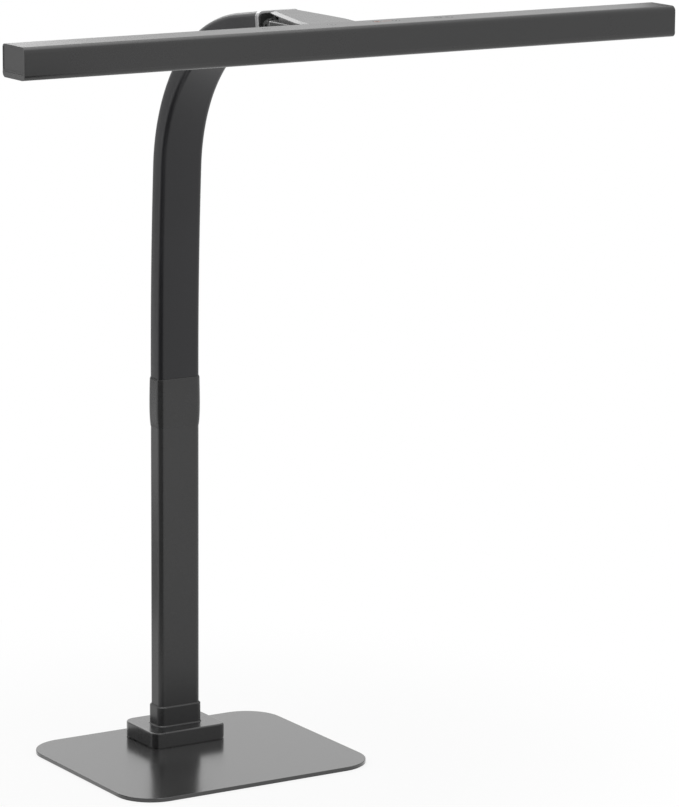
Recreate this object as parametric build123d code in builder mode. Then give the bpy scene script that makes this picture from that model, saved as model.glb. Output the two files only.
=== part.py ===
from build123d import *
import os
from math import cos, degrees, radians, sin, tan

os.makedirs("parts", exist_ok=True)

# Piano lamp: a flat base plate, an upright post, a flat bending neck and a long light bar.
# Millimetres. +Z is up, -Y is the side the bar reaches out to, and the origin is the centre
# of the base plate's footprint on the table.

# ------------------------------------------------------------------ driving dimensions
# Clearances
fit_gap = 0.15             # around a piece that is pushed into another
running_gap = 0.3          # between pieces that move past each other
pin_gap = 0.05             # round the hinge screws and beside the friction washers
screw_gap = 0.1            # round a screw's shank and head

# Base plate and the foam pad under it
plate_width = 238.0
plate_depth = 201.0
plate_thickness = 3.0
plate_corner = 33.0
plate_edge = 0.5
pad_thickness = 0.6
pad_inset = 1.0

# Foot block, placed by the post's axis
stem_x = 7.2
stem_y = 56.0
block_width = 72.0
block_front = 27.0
block_back = 30.0
block_height = 13.6
block_front_corner = 7.0
block_back_corner = 11.0
block_edge = 1.2
block_foot_height = 1.0
block_foot_inset = 1.2

# Screws from below: four through the plate, two into the anchor
base_screw_radius = 2.0
base_screw_head_radius = 3.8
base_screw_length = 10.0
base_screw_spacing_x = 52.0
base_screw_spacing_y = 34.0
anchor_bolt_radius = 2.5
anchor_bolt_head_radius = 4.3
anchor_bolt_head = 5.0
anchor_bolt_bite = 14.0
anchor_bolt_spacing = 22.0

# Power socket at the back of the foot block
socket_width = 11.0
socket_height = 9.0
socket_depth = 14.0
socket_bore_radius = 3.2
socket_bore_depth = 9.5
contact_radius = 1.0
contact_length = 8.5
channel_width = 7.0

# Post, its collars and the pieces that carry it
stem_width = 39.8
stem_depth = 20.0
stem_corner = 5.0
tube_wall = 1.6
anchor_height = 28.0
foot_collar_height = 17.6
foot_collar_proud = 1.5
foot_collar_flare = 0.9
foot_collar_chamfer = 1.1
mid_collar_bottom = 280.3
mid_collar_height = 42.6
mid_collar_proud = 1.2
mid_collar_foot = 0.25        # how proud its foot and its top are of the post
mid_collar_lip = 0.45
mid_collar_swell = 0.9        # share of the full swell reached at the two shoulders
mid_collar_shoulder = 11.0    # from each end to its shoulder
mid_collar_chamfer = 1.2
coupler_depth = 36.0
coupler_flange = 3.0
plug_length = 14.0
plug_floor = 2.0
plug_corner = 3.0
sleeve_lip = 2.0
collar_screw_radius = 1.5
collar_screw_head_radius = 2.7
collar_screw_bite = 6.0
collar_screw_spacing = 16.0
collar_screw_drop = 11.0

# Neck centre line: upright, a slight lean, a tight crook, a wider reach and a straight tip
bend_start_z = 332.3
lean_radius = 3000.0
lean_angle = 3.3
crook_radius = 139.4
crook_angle = 64.2
reach_radius = 175.7
reach_angle = 14.6
tip_length = 33.0

# Neck stretches, which bend at stations between them
bend_count = 4
first_bend = 50.0
last_stretch = 56.76          # from the last bend to the neck's tip
bend_limit = 20.0
hose_radius = 6.5
hose_bore = 4.4
hose_pitch = 18.0
ball_radius = 5.9
cable_radius = 2.2
cavity_corner = 3.0

# Tilting hinge at the neck's tip
ring_length = 5.0
ring_proud = 0.25
ring_edge = 0.6
face_recess = 0.6
pivot_standoff = 10.0
pivot_drop = 2.2
ear_radius = 5.5
ear_thickness = 4.0
ear_arm_rise = 1.3
ear_root = 4.0
barrel_radius = 7.0
barrel_width = 23.0
hinge_screw_radius = 2.5
hinge_screw_head_radius = 4.2
hinge_screw_head = 2.2
hinge_screw_bite = 6.0
washer_thickness = 1.0
washer_radius = 5.2
lead_standoff = 2.4        # from the hinge axis to the cable's parted ends

# Neck head: bracket and its two covers
head_reach = 83.6          # from the hinge axis to the bar's back
bar_rise = 10.7           # from the hinge axis to the bar's top
tongue_below = 5.0
tongue_above = 4.6
slot_setback = 4.0
flange_width = 38.0
flange_thickness = 3.0
flange_below = 6.0
flange_above = 5.0
bracket_screw_radius = 1.5
bracket_screw_head_radius = 2.8
bracket_screw_head = 2.0
bracket_screw_spacing = 30.0
nut_plate_width = 8.0
nut_plate_height = 8.0
nut_plate_thickness = 2.5
cover_wall = 1.8
visor_setback = 5.6        # back edge of the upper cover, behind the hinge axis
cover_setback = 9.0        # back face of the covers, ahead of the hinge axis
deck_rise = 5.4            # deck between the covers, above the hinge axis
top_rise_back = 11.8
top_rise_front = 8.4
visor_skin = 2.4
visor_crown = 4.5             # width of the sloped border round the roof
visor_fall = 1.6              # drop of the roof across that border
visor_ease = 4.0
visor_recess = 1.6
visor_corner = 8.0
visor_half_width = 13.2
shoulder_half_width = 19.2
shoulder_reach = 24.0
root_half_width = 25.0
root_reach = 57.0
root_round = 40.0
tray_drop = 9.6
tray_half_width = 25.2
tray_corner = 8.0
tray_edge = 0.8
deck_edge = 1.2
cover_screw_radius = 1.1
cover_screw_head_radius = 2.3
cover_screw_head = 1.8
cover_screw_spacing = 32.0
cover_screw_reach = 60.0
cover_boss_radius = 3.4

# Light bar
bar_length = 600.0
bar_depth = 35.4
bar_height = 25.4
bar_front_corner = 4.6
bar_back_corner = 3.0
housing_wall = 1.4
housing_top = 1.6
loft_corner = 2.6
web_height = 8.0
web_thickness = 1.4
bezel_height = 4.4
bezel_corner = 4.0
bezel_lip = 2.0
bezel_border = 5.0
bezel_end_border = 12.0
bezel_rebate = 1.6
bezel_tongue = 3.0
bezel_tongue_wall = 1.4
diffuser_thickness = 2.0
cap_thickness = 3.0
cap_edge = 0.3
cap_rim = 1.6
cap_recess = 0.3
cap_spigot = 6.0
cap_spigot_wall = 1.6

# Electronics in the bar
board_thickness = 1.6
led_board_width = 14.0
led_board_margin = 8.0
led_count = 56
led_pitch = 10.0
led_length = 3.5
led_width = 2.8
led_height = 0.8
touch_board_length = 200.0
touch_board_width = 22.0
touch_key_radius = 3.2
touch_key_setback = 3.0
touch_key_places = [-77.5, -18.2, 24.0, 42.0, 81.7, 92.2]
driver_board_length = 92.0
driver_board_width = 24.0
driver_board_place = 86.0
connector_length = 8.0
connector_width = 8.0
connector_height = 6.0
coil_radius = 4.5
coil_height = 4.6
coil_spacing = 16.0
chip_size = 6.0
chip_height = 1.8
chip_spacing = 12.0
head_cable_turn = 16.0
head_cable_bend = 6.0

# ------------------------------------------------------------------ levels and places
plate_top = pad_thickness + plate_thickness
block_top = plate_top + block_height
block_middle_y = stem_y + (block_back - block_front) / 2
block_rear_y = stem_y + block_back
socket_z = plate_top + block_height / 2
tube_top = mid_collar_bottom + mid_collar_height / 2
tube_inner_width = stem_width - 2 * tube_wall
tube_inner_depth = stem_depth - 2 * tube_wall
tube_inner_corner = stem_corner - tube_wall
plug_width = stem_width - 2 * (sleeve_lip + fit_gap)
plug_depth = stem_depth - 2 * (sleeve_lip + fit_gap)
cavity_width = hose_pitch + 2 * (hose_radius + running_gap)
cavity_depth = 2 * (hose_radius + running_gap)
hose_seat_radius = hose_radius + fit_gap
cable_way_radius = cable_radius + 0.8
touch_board_place = (touch_key_places[0] + touch_key_places[-1]) / 2

neck_runs = [(lean_radius, lean_angle), (crook_radius, crook_angle), (reach_radius, reach_angle)]
neck_foot = tube_top + coupler_flange - bend_start_z


def neck_marks():
    """Distances along the neck where one run meets the next, from the start of the bend."""
    marks = [0.0]
    for radius, angle in neck_runs:
        marks.append(marks[-1] + radius * radians(angle))
    return marks


run_marks = neck_marks()
neck_tip = run_marks[-1] + tip_length
bend_pitch = (neck_tip - last_stretch - first_bend) / (bend_count - 1)
bend_stations = [first_bend + bend_pitch * number for number in range(bend_count)]


def neck_station(distance):
    """Forward reach, height and lean in degrees, at a distance along the neck's centre line."""
    if distance <= 0:
        return 0.0, bend_start_z + distance, 0.0
    forward = 0.0
    height = bend_start_z
    lean = 0.0
    for radius, angle in neck_runs:
        turn = min(angle, degrees(distance / radius))
        forward += radius * (cos(radians(lean)) - cos(radians(lean + turn)))
        height += radius * (sin(radians(lean + turn)) - sin(radians(lean)))
        lean += turn
        distance -= radius * radians(turn)
    return forward + distance * sin(radians(lean)), height + distance * cos(radians(lean)), lean


def neck_place(distance):
    """Point on the neck's centre line."""
    forward, height, lean = neck_station(distance)
    return (stem_x, stem_y - forward, height)


def neck_heading(distance):
    """Direction in which the neck runs at a distance along it."""
    lean = radians(neck_station(distance)[2])
    return (0, -sin(lean), cos(lean))


def neck_plane(distance):
    """Plane square to the neck: its X is the lamp's X and its Z points along the neck."""
    return Plane(origin=neck_place(distance), x_dir=(1, 0, 0), z_dir=neck_heading(distance))


def neck_path(start, end):
    """Centre line between two distances: straight runs and tangent arcs."""
    inner = [mark for mark in run_marks if start < mark < end]
    stops = [start] + inner + [end]
    with BuildLine() as path:
        for near, far in zip(stops, stops[1:]):
            if far <= run_marks[0] or near >= run_marks[-1]:
                Line(neck_place(near), neck_place(far))
            else:
                TangentArc(neck_place(near), neck_place(far), tangent=neck_heading(near))
    return path.line


pivot_seat = neck_place(neck_tip + ring_length + pivot_standoff)
pivot_y = pivot_seat[1]
pivot_z = pivot_seat[2] - pivot_drop
bar_back_y = pivot_y - head_reach
bar_middle_y = bar_back_y - bar_depth / 2
bar_top_z = pivot_z + bar_rise
bar_bottom_z = bar_top_z - bar_height
bar_left_x = stem_x - bar_length / 2
bar_right_x = stem_x + bar_length / 2
housing_length = bar_length - 2 * cap_thickness
housing_inner = bar_depth - 2 * housing_wall
web_bottom_z = bar_bottom_z + web_height
web_top_z = web_bottom_z + web_thickness
loft_top_z = bar_top_z - housing_top
loft_height = loft_top_z - web_top_z
bezel_top_z = bar_bottom_z + bezel_height
deck_z = pivot_z + deck_rise
tray_floor_z = pivot_z - tray_drop
roof_slope = (top_rise_back - top_rise_front) / (visor_setback + head_reach)

# ------------------------------------------------------------------ base
# Foam sheet glued under the plate.
with BuildPart() as base_pad:
    with BuildSketch():
        RectangleRounded(
            plate_width - 2 * pad_inset, plate_depth - 2 * pad_inset, plate_corner - pad_inset
        )
    extrude(amount=pad_thickness)
base_pad.part.label = "base_pad"
export_step(base_pad.part, "parts/base_pad.step")

plate_underside = Plane(
    origin=(stem_x, block_middle_y, pad_thickness), x_dir=(1, 0, 0), z_dir=(0, 0, -1)
)
block_underside = Plane(
    origin=(stem_x, block_middle_y, plate_top), x_dir=(1, 0, 0), z_dir=(0, 0, -1)
)
bolt_underside = Plane(origin=(stem_x, stem_y, plate_top), x_dir=(1, 0, 0), z_dir=(0, 0, -1))

# Steel plate, countersunk from below for the block's screws.
with BuildPart() as base_plate:
    with BuildSketch(Plane.XY.offset(pad_thickness)):
        RectangleRounded(plate_width, plate_depth, plate_corner)
    extrude(amount=plate_thickness)
    fillet(base_plate.edges().group_by(Axis.Z)[-1], plate_edge)
    with Locations(plate_underside):
        with GridLocations(base_screw_spacing_x, base_screw_spacing_y, 2, 2):
            CounterSinkHole(
                radius=base_screw_radius + screw_gap,
                counter_sink_radius=base_screw_head_radius + screw_gap,
                depth=plate_thickness,
                counter_sink_angle=90,
            )
base_plate.part.label = "base_plate"
export_step(base_plate.part, "parts/base_plate.step")

# Four countersunk screws that hold the block to the plate.
base_screw_head = base_screw_head_radius - base_screw_radius
with BuildPart() as base_screws:
    with Locations(plate_underside):
        with GridLocations(base_screw_spacing_x, base_screw_spacing_y, 2, 2):
            Cone(
                bottom_radius=base_screw_radius,
                top_radius=base_screw_head_radius,
                height=base_screw_head,
                align=(Align.CENTER, Align.CENTER, Align.MAX),
            )
            Cylinder(
                radius=base_screw_radius,
                height=base_screw_length,
                align=(Align.CENTER, Align.CENTER, Align.MAX),
            )
base_screws.part.label = "base_screws"
export_step(base_screws.part, "parts/base_screws.step")

# Moulded block: sockets for the screws, a rear pocket for the inlet and a way for the cable.
pocket_face = Plane(origin=(stem_x, block_rear_y, socket_z), x_dir=(-1, 0, 0), z_dir=(0, 1, 0))
channel_length = block_back - socket_depth - fit_gap + channel_width / 2
with BuildPart() as foot_block:
    with BuildSketch(Plane.XY.offset(plate_top + block_foot_height)) as block_outline:
        with Locations((stem_x, block_middle_y)):
            Rectangle(block_width, block_front + block_back)
        fillet(block_outline.vertices().group_by(Axis.Y)[0], block_front_corner)
        fillet(block_outline.vertices().group_by(Axis.Y)[-1], block_back_corner)
    extrude(amount=block_height - block_foot_height)
    fillet(foot_block.edges().group_by(Axis.Z)[-1], block_edge)
    with BuildSketch(Plane.XY.offset(plate_top)) as foot_outline:
        with Locations((stem_x, block_middle_y)):
            Rectangle(
                block_width - 2 * block_foot_inset,
                block_front + block_back - 2 * block_foot_inset,
            )
        fillet(
            foot_outline.vertices().group_by(Axis.Y)[0], block_front_corner - block_foot_inset
        )
        fillet(
            foot_outline.vertices().group_by(Axis.Y)[-1], block_back_corner - block_foot_inset
        )
    extrude(amount=block_foot_height)
    with Locations(block_underside):
        with GridLocations(base_screw_spacing_x, base_screw_spacing_y, 2, 2):
            Hole(
                radius=base_screw_radius + screw_gap,
                depth=base_screw_length - plate_thickness + 1,
            )
    with Locations(bolt_underside):
        with GridLocations(anchor_bolt_spacing, 0, 2, 1):
            CounterBoreHole(
                radius=anchor_bolt_radius + screw_gap,
                counter_bore_radius=anchor_bolt_head_radius + screw_gap,
                counter_bore_depth=anchor_bolt_head + fit_gap,
                depth=block_height,
            )
    with BuildSketch(pocket_face):
        Rectangle(socket_width + 2 * fit_gap, socket_height + 2 * fit_gap)
    extrude(amount=-(socket_depth + fit_gap), mode=Mode.SUBTRACT)
    with BuildSketch(Plane.XY.offset(plate_top)):
        with Locations((stem_x, stem_y - channel_width / 2)):
            Rectangle(channel_width, channel_length, align=(Align.CENTER, Align.MIN))
    extrude(amount=socket_z - plate_top + cable_way_radius, mode=Mode.SUBTRACT)
    with BuildSketch(Plane.XY.offset(plate_top)):
        with Locations((stem_x, stem_y)):
            Circle(cable_way_radius)
    extrude(amount=block_height, mode=Mode.SUBTRACT)
foot_block.part.label = "foot_block"
export_step(foot_block.part, "parts/foot_block.step")

# Barrel power socket, with its centre contact as a piece of its own.
with BuildPart() as power_socket:
    with BuildSketch(pocket_face):
        RectangleRounded(socket_width, socket_height, 1.0)
    extrude(amount=-socket_depth)
    with BuildSketch(pocket_face):
        Circle(socket_bore_radius)
    extrude(amount=-socket_bore_depth, mode=Mode.SUBTRACT)
power_socket.part.label = "power_socket"
export_step(power_socket.part, "parts/power_socket.step")

with BuildPart() as socket_contact:
    with BuildSketch(pocket_face.offset(-socket_bore_depth)):
        Circle(contact_radius)
    extrude(amount=contact_length)
    fillet(socket_contact.edges().group_by(Axis.Y)[-1], contact_radius / 2)
socket_contact.part.label = "socket_contact"
export_step(socket_contact.part, "parts/socket_contact.step")

# ------------------------------------------------------------------ post
# Plug inside the post's foot, bolted up through the block.
with BuildPart() as post_anchor:
    with BuildSketch(Plane.XY.offset(block_top)):
        with Locations((stem_x, stem_y)):
            RectangleRounded(
                tube_inner_width - 2 * fit_gap, tube_inner_depth - 2 * fit_gap, tube_inner_corner
            )
            Circle(cable_way_radius, mode=Mode.SUBTRACT)
    extrude(amount=anchor_height)
    with Locations(Plane(origin=(stem_x, stem_y, block_top), x_dir=(1, 0, 0), z_dir=(0, 0, -1))):
        with GridLocations(anchor_bolt_spacing, 0, 2, 1):
            Hole(radius=anchor_bolt_radius + screw_gap, depth=anchor_bolt_bite + 1)
post_anchor.part.label = "post_anchor"
export_step(post_anchor.part, "parts/post_anchor.step")

with BuildPart() as anchor_bolts:
    with Locations(bolt_underside.offset(-fit_gap)):
        with GridLocations(anchor_bolt_spacing, 0, 2, 1):
            Cylinder(
                radius=anchor_bolt_head_radius,
                height=anchor_bolt_head,
                align=(Align.CENTER, Align.CENTER, Align.MAX),
            )
            Cylinder(
                radius=anchor_bolt_radius,
                height=block_height - fit_gap + anchor_bolt_bite,
                align=(Align.CENTER, Align.CENTER, Align.MAX),
            )
anchor_bolts.part.label = "anchor_bolts"
export_step(anchor_bolts.part, "parts/anchor_bolts.step")

# Extruded aluminium post, standing on the block.
screw_z = tube_top - collar_screw_drop
stem_rear = Plane(
    origin=(stem_x, stem_y + stem_depth / 2, screw_z), x_dir=(-1, 0, 0), z_dir=(0, 1, 0)
)
with BuildPart() as post_tube:
    with BuildSketch(Plane.XY.offset(block_top)):
        with Locations((stem_x, stem_y)):
            RectangleRounded(stem_width, stem_depth, stem_corner)
            RectangleRounded(
                tube_inner_width, tube_inner_depth, tube_inner_corner, mode=Mode.SUBTRACT
            )
    extrude(amount=tube_top - block_top)
    with Locations(stem_rear):
        with GridLocations(collar_screw_spacing, 0, 2, 1):
            Hole(radius=collar_screw_radius + screw_gap, depth=2 * tube_wall)
post_tube.part.label = "post_tube"
export_step(post_tube.part, "parts/post_tube.step")

# Collar round the post's foot, with a small flare where it meets the block.
foot_collar_width = stem_width + 2 * foot_collar_proud
foot_collar_depth = stem_depth + 2 * foot_collar_proud
foot_collar_corner = stem_corner + foot_collar_proud
with BuildPart() as foot_collar:
    with BuildSketch(Plane.XY.offset(block_top)):
        with Locations((stem_x, stem_y)):
            RectangleRounded(foot_collar_width, foot_collar_depth, foot_collar_corner)
    extrude(amount=foot_collar_height)
    chamfer(foot_collar.edges().group_by(Axis.Z)[-1], foot_collar_chamfer)
    with BuildSketch(Plane.XY.offset(block_top)):
        with Locations((stem_x, stem_y)):
            RectangleRounded(
                foot_collar_width + 2 * foot_collar_flare,
                foot_collar_depth + 2 * foot_collar_flare,
                foot_collar_corner + foot_collar_flare,
            )
    with BuildSketch(Plane.XY.offset(block_top + foot_collar_flare)):
        with Locations((stem_x, stem_y)):
            RectangleRounded(foot_collar_width, foot_collar_depth, foot_collar_corner)
    loft()
    with BuildSketch(Plane.XY.offset(block_top)):
        with Locations((stem_x, stem_y)):
            RectangleRounded(
                stem_width + 2 * fit_gap, stem_depth + 2 * fit_gap, stem_corner + fit_gap
            )
    extrude(amount=foot_collar_height, mode=Mode.SUBTRACT)
foot_collar.part.label = "foot_collar"
export_step(foot_collar.part, "parts/foot_collar.step")

# Coupler: its lower half fills the post's top, its upper half holds the neck's two hoses.
with BuildPart() as coupler:
    with BuildSketch(Plane.XY.offset(tube_top - coupler_depth)):
        with Locations((stem_x, stem_y)):
            RectangleRounded(
                tube_inner_width - 2 * fit_gap, tube_inner_depth - 2 * fit_gap, tube_inner_corner
            )
    extrude(amount=coupler_depth)
    with BuildSketch(Plane.XY.offset(tube_top)):
        with Locations((stem_x, stem_y)):
            RectangleRounded(stem_width, stem_depth, stem_corner)
    extrude(amount=coupler_flange)
    with BuildSketch(Plane.XY.offset(tube_top + coupler_flange)):
        with Locations((stem_x, stem_y)):
            RectangleRounded(plug_width, plug_depth, plug_corner)
    extrude(amount=plug_length)
    with BuildSketch(Plane.XY.offset(tube_top + coupler_flange + plug_floor)):
        with Locations((stem_x - hose_pitch / 2, stem_y), (stem_x + hose_pitch / 2, stem_y)):
            Circle(hose_seat_radius)
    extrude(amount=plug_length, mode=Mode.SUBTRACT)
    with BuildSketch(Plane.XY.offset(tube_top - coupler_depth)):
        with Locations((stem_x, stem_y)):
            Circle(cable_way_radius)
    extrude(amount=coupler_depth + coupler_flange + plug_length, mode=Mode.SUBTRACT)
    with Locations(stem_rear.offset(-tube_wall - fit_gap)):
        with GridLocations(collar_screw_spacing, 0, 2, 1):
            Hole(radius=collar_screw_radius + screw_gap, depth=collar_screw_bite + 1)
coupler.part.label = "coupler"
export_step(coupler.part, "parts/coupler.step")

# Collar over the joint of post and neck: full in the middle, eased towards both ends.
mid_collar_top = mid_collar_bottom + mid_collar_height
with BuildPart() as mid_collar:
    mid_collar_eased = mid_collar_height - mid_collar_chamfer
    for levels in (
        (
            (0, mid_collar_foot),
            (mid_collar_shoulder, mid_collar_swell * mid_collar_proud),
            (mid_collar_height / 2, mid_collar_proud),
            (mid_collar_height - mid_collar_shoulder, mid_collar_swell * mid_collar_proud),
            (mid_collar_eased, mid_collar_lip + mid_collar_chamfer / 3),
        ),
        (
            (mid_collar_eased, mid_collar_lip + mid_collar_chamfer / 3),
            (mid_collar_height, mid_collar_lip),
        ),
    ):
        for level, proud in levels:
            with BuildSketch(Plane.XY.offset(mid_collar_bottom + level)):
                with Locations((stem_x, stem_y)):
                    RectangleRounded(
                        stem_width + 2 * proud, stem_depth + 2 * proud, stem_corner + proud
                    )
        loft()
    with BuildSketch(Plane.XY.offset(mid_collar_bottom)):
        with Locations((stem_x, stem_y)):
            RectangleRounded(
                stem_width + 2 * fit_gap, stem_depth + 2 * fit_gap, stem_corner + fit_gap
            )
    extrude(amount=mid_collar_height, mode=Mode.SUBTRACT)
    with Locations(stem_rear.offset(mid_collar_proud)):
        with GridLocations(collar_screw_spacing, 0, 2, 1):
            Hole(
                radius=collar_screw_head_radius + screw_gap,
                depth=mid_collar_proud + fit_gap,
            )
mid_collar.part.label = "mid_collar"
export_step(mid_collar.part, "parts/mid_collar.step")

with BuildPart() as collar_screws:
    with Locations(stem_rear):
        with GridLocations(collar_screw_spacing, 0, 2, 1):
            Cylinder(
                radius=collar_screw_head_radius,
                height=mid_collar_proud - fit_gap,
                align=(Align.CENTER, Align.CENTER, Align.MIN),
            )
            Cylinder(
                radius=collar_screw_radius,
                height=tube_wall + fit_gap + collar_screw_bite,
                align=(Align.CENTER, Align.CENTER, Align.MAX),
            )
collar_screws.part.label = "collar_screws"
export_step(collar_screws.part, "parts/collar_screws.step")

# Cable from the socket, up the post and between the neck's hoses to the first bend.
cable_cut = cable_radius * tan(radians(bend_limit / 2)) + running_gap / 2
cable_root_y = block_rear_y - socket_depth - fit_gap
with BuildPart() as supply_cable:
    with BuildLine() as cable_route:
        FilletPolyline(
            (stem_x, cable_root_y, socket_z),
            (stem_x, stem_y, socket_z),
            neck_place(neck_foot),
            radius=5,
        )
        add(neck_path(neck_foot, bend_stations[0] - cable_cut))
    with BuildSketch(
        Plane(origin=(stem_x, cable_root_y, socket_z), x_dir=(1, 0, 0), z_dir=(0, -1, 0))
    ):
        Circle(cable_radius)
    sweep(path=cable_route.line)
supply_cable.part.label = "supply_cable"
export_step(supply_cable.part, "parts/supply_cable.step")

# ------------------------------------------------------------------ neck
# The neck bends at four stations. Each stretch is a silicone sleeve over two steel hoses with
# the cable between them, and each hose ends in a ball that the next one turns on.
sleeve_cut = stem_depth / 2 * tan(radians(bend_limit / 2)) + running_gap / 2
hose_cut = hose_radius * tan(radians(bend_limit / 2)) + running_gap / 2
hose_sides = [-hose_pitch / 2, hose_pitch / 2]
stretch_stops = [neck_foot] + bend_stations + [neck_tip]

for index in range(bend_count + 1):
    number = index + 1
    first = index == 0
    last = index == bend_count
    start = stretch_stops[index]
    end = stretch_stops[index + 1]

    sleeve_start = start if first else start + sleeve_cut
    sleeve_end = end if last else end - sleeve_cut
    with BuildPart() as neck_sleeve:
        with BuildSketch(neck_plane(sleeve_start)):
            RectangleRounded(stem_width, stem_depth, stem_corner)
            RectangleRounded(cavity_width, cavity_depth, cavity_corner, mode=Mode.SUBTRACT)
        sweep(path=neck_path(sleeve_start, sleeve_end))
        if first or last:
            with BuildSketch(neck_plane(start if first else end)):
                RectangleRounded(plug_width + 2 * fit_gap, plug_depth + 2 * fit_gap, plug_corner)
            pocket = plug_length + fit_gap
            extrude(amount=pocket if first else -pocket, mode=Mode.SUBTRACT)
    neck_sleeve.part.label = f"neck_sleeve_{number}"
    export_step(neck_sleeve.part, f"parts/neck_sleeve_{number}.step")

    hose_start = start + plug_floor if first else start + hose_cut
    hose_end = end - plug_floor if last else end - hose_cut
    with BuildPart() as neck_hose:
        with BuildSketch(neck_plane(hose_start)):
            with Locations((hose_sides[0], 0), (hose_sides[1], 0)):
                Circle(hose_radius)
                Circle(hose_bore, mode=Mode.SUBTRACT)
        sweep(path=neck_path(hose_start, hose_end))
        if not last:
            with Locations(neck_plane(end)):
                with Locations((hose_sides[0], 0, 0), (hose_sides[1], 0, 0)):
                    Sphere(ball_radius)
        if not first:
            with Locations(neck_plane(start)):
                with Locations((hose_sides[0], 0, 0), (hose_sides[1], 0, 0)):
                    Sphere(ball_radius + running_gap, mode=Mode.SUBTRACT)
    neck_hose.part.label = f"neck_hoses_{number}"
    export_step(neck_hose.part, f"parts/neck_hoses_{number}.step")

    if not first:
        hinge_end = neck_tip + ring_length + pivot_standoff - lead_standoff
        cable_start = start + cable_cut
        cable_end = hinge_end if last else end - cable_cut
        with BuildPart() as neck_cable:
            with BuildSketch(neck_plane(cable_start)):
                Circle(cable_radius)
            sweep(path=neck_path(cable_start, cable_end))
        neck_cable.part.label = f"neck_cable_{number}"
        export_step(neck_cable.part, f"parts/neck_cable_{number}.step")

# ------------------------------------------------------------------ hinge
ear_inner = barrel_width / 2 + washer_thickness + 2 * pin_gap
ear_outer = ear_inner + ear_thickness
side_plane = Plane.YZ.offset(stem_x)
fitting_front = ring_length - face_recess
fitting_front_y = neck_place(neck_tip + fitting_front)[1]

# Die-cast fitting in the neck's tip, with two ears for the hinge.
with BuildPart() as tip_fitting:
    with BuildSketch(neck_plane(neck_tip - plug_length)):
        RectangleRounded(plug_width, plug_depth, plug_corner)
    extrude(amount=plug_length + fitting_front)
    with BuildSketch(neck_plane(neck_tip - plug_floor)):
        with Locations((hose_sides[0], 0), (hose_sides[1], 0)):
            Circle(hose_seat_radius)
    extrude(amount=-plug_length, mode=Mode.SUBTRACT)
    with BuildSketch(neck_plane(neck_tip - plug_length)):
        Circle(cable_way_radius)
    extrude(amount=plug_length + fitting_front, mode=Mode.SUBTRACT)
    for side in (-ear_outer, ear_inner):
        with BuildSketch(side_plane.offset(side)):
            with Locations((pivot_y, pivot_z)):
                Circle(ear_radius)
            with Locations((pivot_y, pivot_z - ear_radius)):
                Rectangle(
                    fitting_front_y + ear_root - pivot_y,
                    ear_radius + ear_arm_rise,
                    align=(Align.MIN, Align.MIN),
                )
        extrude(amount=ear_thickness)
    with BuildSketch(side_plane.offset(-ear_outer)):
        with Locations((pivot_y, pivot_z)):
            Circle(hinge_screw_radius + pin_gap)
    extrude(amount=2 * ear_outer, mode=Mode.SUBTRACT)
tip_fitting.part.label = "tip_fitting"
export_step(tip_fitting.part, "parts/tip_fitting.step")

# Bright trim ring between the sleeve's end and the hinge.
with BuildPart() as tip_ring:
    with BuildSketch(neck_plane(neck_tip)):
        RectangleRounded(
            stem_width + 2 * ring_proud, stem_depth + 2 * ring_proud, stem_corner + ring_proud
        )
    extrude(amount=ring_length)
    fillet(tip_ring.edges().filter_by(neck_plane(neck_tip)), ring_edge)
    with BuildSketch(neck_plane(neck_tip)):
        RectangleRounded(plug_width + 2 * fit_gap, plug_depth + 2 * fit_gap, plug_corner)
    extrude(amount=ring_length, mode=Mode.SUBTRACT)
tip_ring.part.label = "tip_ring"
export_step(tip_ring.part, "parts/tip_ring.step")

# Two shoulder screws that the head tilts on, with a friction washer inside each ear.
with BuildPart() as hinge_screws:
    for way in (-1, 1):
        with BuildSketch(side_plane.offset(way * ear_outer)):
            with Locations((pivot_y, pivot_z)):
                Circle(hinge_screw_head_radius)
        extrude(amount=way * hinge_screw_head)
        with BuildSketch(side_plane.offset(way * ear_outer)):
            with Locations((pivot_y, pivot_z)):
                Circle(hinge_screw_radius)
        extrude(amount=-way * (ear_outer - barrel_width / 2 + hinge_screw_bite))
        with BuildSketch(side_plane.offset(way * (ear_outer + hinge_screw_head))):
            with Locations((pivot_y, pivot_z)):
                RegularPolygon(radius=hinge_screw_radius / 2 + 0.4, side_count=6)
        extrude(amount=-way * hinge_screw_head / 2, mode=Mode.SUBTRACT)
hinge_screws.part.label = "hinge_screws"
export_step(hinge_screws.part, "parts/hinge_screws.step")

with BuildPart() as friction_washers:
    for side in (-barrel_width / 2 - pin_gap - washer_thickness, barrel_width / 2 + pin_gap):
        with BuildSketch(side_plane.offset(side)):
            with Locations((pivot_y, pivot_z)):
                Circle(washer_radius)
                Circle(hinge_screw_radius + pin_gap, mode=Mode.SUBTRACT)
        extrude(amount=washer_thickness)
friction_washers.part.label = "friction_washers"
export_step(friction_washers.part, "parts/friction_washers.step")

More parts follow.
